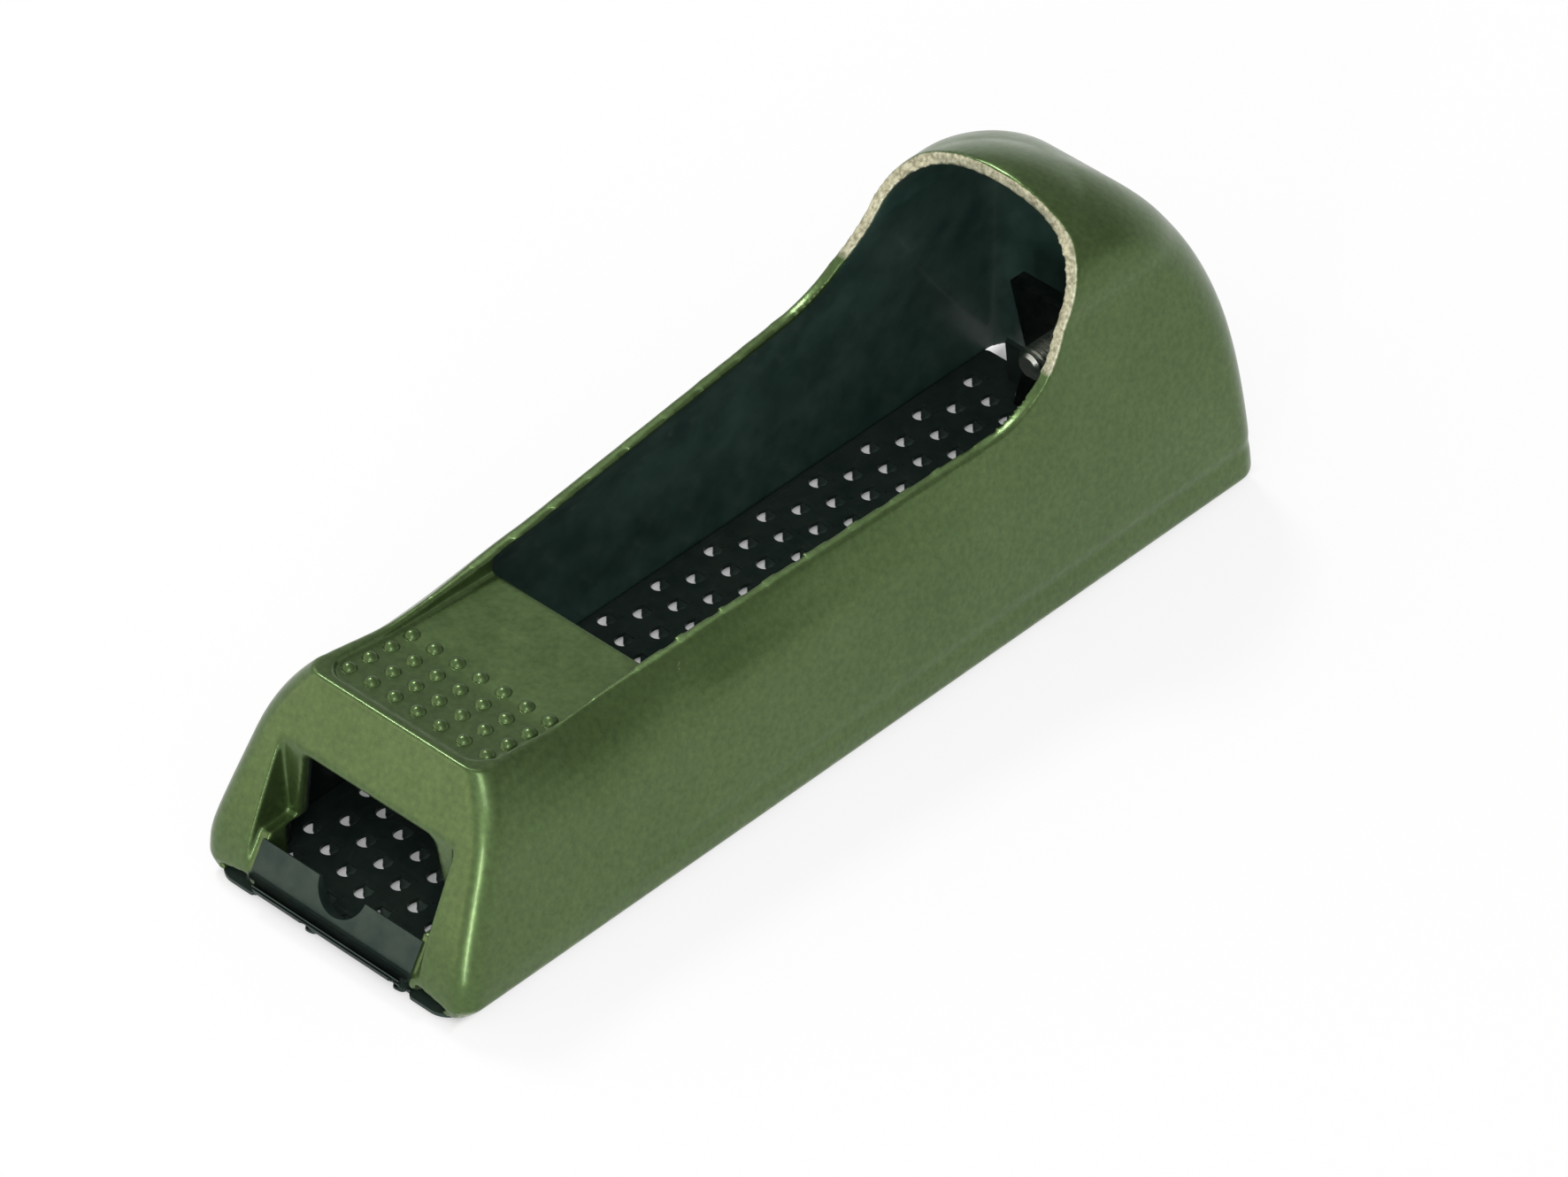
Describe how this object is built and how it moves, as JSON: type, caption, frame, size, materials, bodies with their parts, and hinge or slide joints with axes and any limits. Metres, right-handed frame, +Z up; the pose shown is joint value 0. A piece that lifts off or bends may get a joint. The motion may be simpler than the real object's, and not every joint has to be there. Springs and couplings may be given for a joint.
{
  "type": "rasp plane",
  "caption": "Cast block-style rasp plane with a palm dome, a studded finger rest, a front window and a perforated steel blade stretched under it by a rear screw.",
  "frame": {"origin": "under the middle of the tool's length and width, on the plane that the tooth tips stand on", "axes": "+Y from the front window to the palm dome, +Z up, +X to the right when the tool is looked at from its front"},
  "size_m": [0.0514, 0.1588, 0.0562],
  "materials": {
    "casting_paint": "worn olive bronze metallic enamel",
    "blade_steel": "blackened spring steel",
    "hook_steel": "dark oiled steel",
    "screw_steel": "zinc plated",
    "washer_steel": "zinc plated",
    "ring_steel": "phosphated spring steel"
  },
  "bodies": {
    "casting": {"body_casting": "casting_paint"},
    "blade": {"rasp_blade": "blade_steel"},
    "hook": {"tension_hook": "hook_steel"},
    "screw": {"tension_screw": "screw_steel", "screw_washer": "washer_steel", "retaining_ring": "ring_steel"}
  },
  "joints": [
    {"name": "screw_turn", "type": "hinge", "parent": "casting", "child": "screw", "pos_m": [0, 0.0735, 0.019], "axis": [0, 1, 0], "range_deg": [0, 1800]},
    {"name": "hook_slide", "type": "slide", "parent": "casting", "child": "hook", "axis": [0, -1, 0], "range_m": [0, 0.004]},
    {"name": "blade_drop", "type": "hinge", "parent": "casting", "child": "blade", "pos_m": [0, -0.07665, 0.00355], "axis": [-1, 0, 0], "range_deg": [0, 1.51]}
  ],
  "couplings": [
    {"joint": "screw_turn", "follows": "hook_slide", "rad_per_m": 7854},
    {"joint": "blade_drop", "follows": "hook_slide", "rad_per_m": 6.54}
  ]
}
